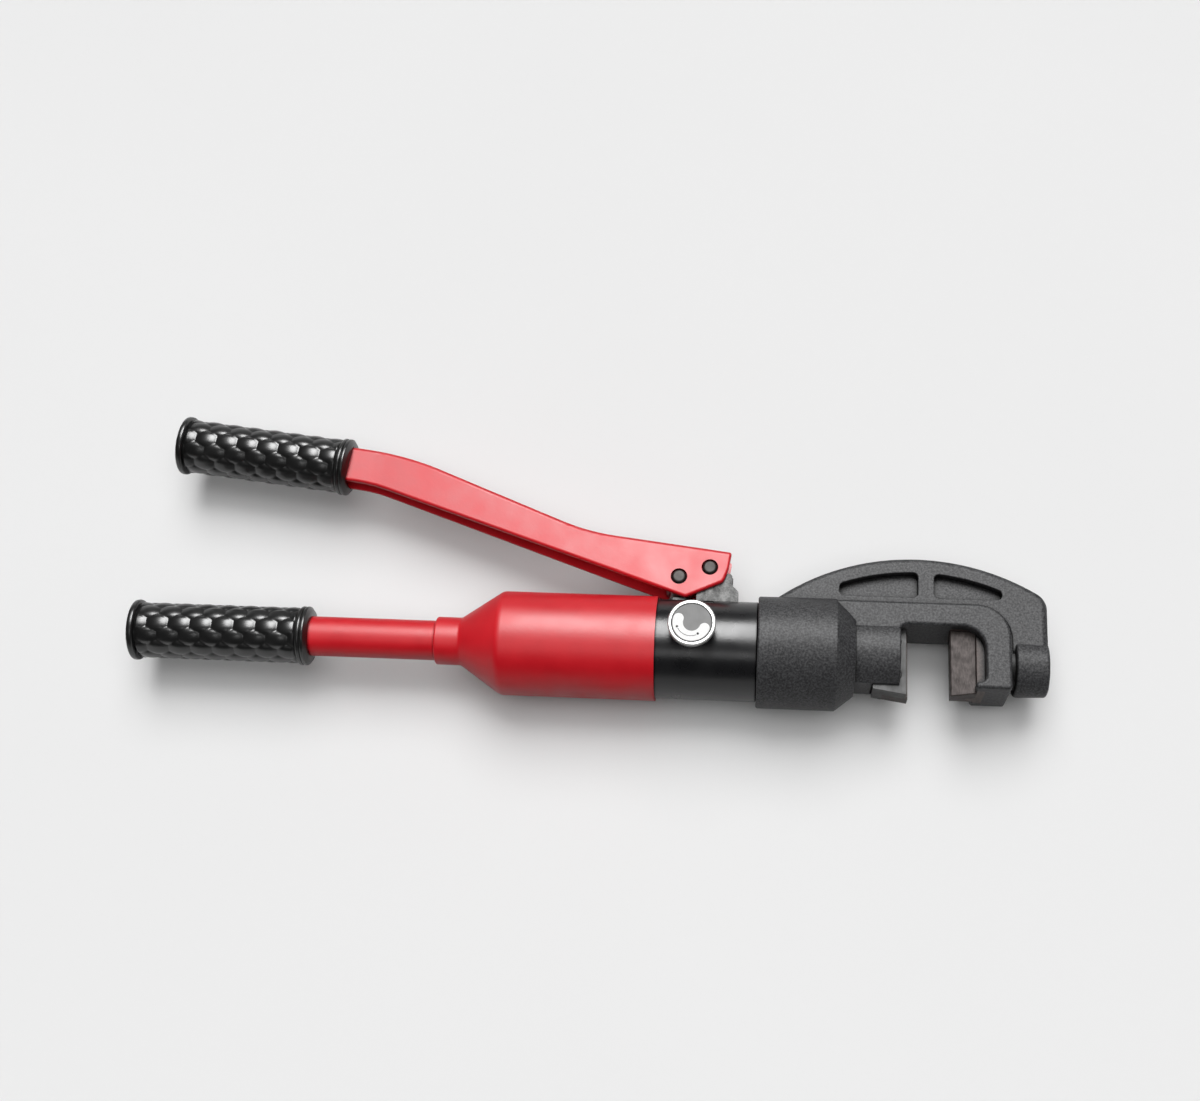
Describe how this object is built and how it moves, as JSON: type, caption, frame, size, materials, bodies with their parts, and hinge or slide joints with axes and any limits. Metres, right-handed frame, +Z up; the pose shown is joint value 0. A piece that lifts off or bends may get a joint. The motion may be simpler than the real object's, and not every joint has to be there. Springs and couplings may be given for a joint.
{
  "type": "hydraulic rebar cutter",
  "caption": "Hand-pumped hydraulic rebar cutter: C-shaped cutting head on a pump body, oil tank handle and folded pump lever, with a ram blade and a release knob.",
  "frame": {"origin": "on the tool's long axis, in the plane where the oil tank meets the pump body", "axes": "+X along the tool to the cutting head, +Y to the pump lever, +Z up out of the release knob's side, with the tool lying on its side"},
  "size_m": [0.5707, 0.1836, 0.0795],
  "materials": {
    "red_paint": "satin",
    "black_paint": "satin",
    "cast_paint": "powder coated",
    "grip_pvc": "gloss",
    "zinc_steel": "zinc plated",
    "ground_steel": "ground",
    "blade_steel": "tempered, ground",
    "black_steel": "black oxide",
    "spring_steel": "drawn wire",
    "knob_metal": "turned",
    "plate_metal": "brushed",
    "seal_rubber": "matt"
  },
  "bodies": {
    "tool": {"oil_tank": "red_paint", "handle_tube": "red_paint", "rear_grip": "grip_pvc", "oil_bladder": "seal_rubber", "bladder_clamp": "zinc_steel", "tank_seal": "seal_rubber", "pump_body": "black_paint", "plunger_gland": "zinc_steel", "plunger_seal": "seal_rubber", "suction_seat": "ground_steel", "suction_strainer": "spring_steel", "suction_ball": "ground_steel", "suction_spring": "spring_steel", "delivery_ball": "ground_steel", "delivery_spring": "spring_steel", "delivery_plug": "ground_steel", "relief_ball": "ground_steel", "relief_spring": "spring_steel", "relief_screw": "zinc_steel", "release_nut": "zinc_steel", "release_seal": "seal_rubber", "release_ball": "ground_steel", "lever_bracket": "zinc_steel", "bracket_screw": "zinc_steel", "cutter_head": "cast_paint", "head_seal": "seal_rubber", "rod_wiper": "seal_rubber", "fixed_blade": "blade_steel", "fixed_blade_screws": "black_steel", "return_spring": "spring_steel"},
    "lever": {"pump_lever": "red_paint", "lever_grip": "grip_pvc", "fulcrum_pin": "ground_steel", "plunger_pin": "ground_steel", "pin_clips": "zinc_steel"},
    "plunger": {"plunger": "ground_steel"},
    "ram": {"ram": "ground_steel", "piston_seal": "seal_rubber", "moving_blade": "blade_steel", "moving_blade_screws": "black_steel"},
    "release": {"release_stem": "ground_steel", "release_knob": "knob_metal", "knob_plate": "plate_metal", "knob_set_screw": "zinc_steel"}
  },
  "joints": [
    {"name": "lever_swing", "type": "hinge", "parent": "tool", "child": "lever", "pos_m": [0.031, 0.0508, 0], "axis": [0, 0, 1], "range_deg": [-50, 8]},
    {"name": "plunger_stroke", "type": "slide", "parent": "tool", "child": "plunger", "axis": [0, 1, 0], "range_m": [-0.0029, 0.0172]},
    {"name": "ram_stroke", "type": "slide", "parent": "tool", "child": "ram", "axis": [1, 0, 0], "range_m": [0, 0.0258], "stiffness_N_per_m": 3600, "springref_m": -0.018, "deforming": ["return_spring"]},
    {"name": "release_turn", "type": "hinge", "parent": "tool", "child": "release", "pos_m": [0.0226, 0.0026, 0.036], "axis": [0, 0, 1], "range_deg": [0, 180]}
  ],
  "couplings": [
    {"joint": "plunger_stroke", "follows": "lever_swing", "m_per_rad": -0.0195}
  ]
}
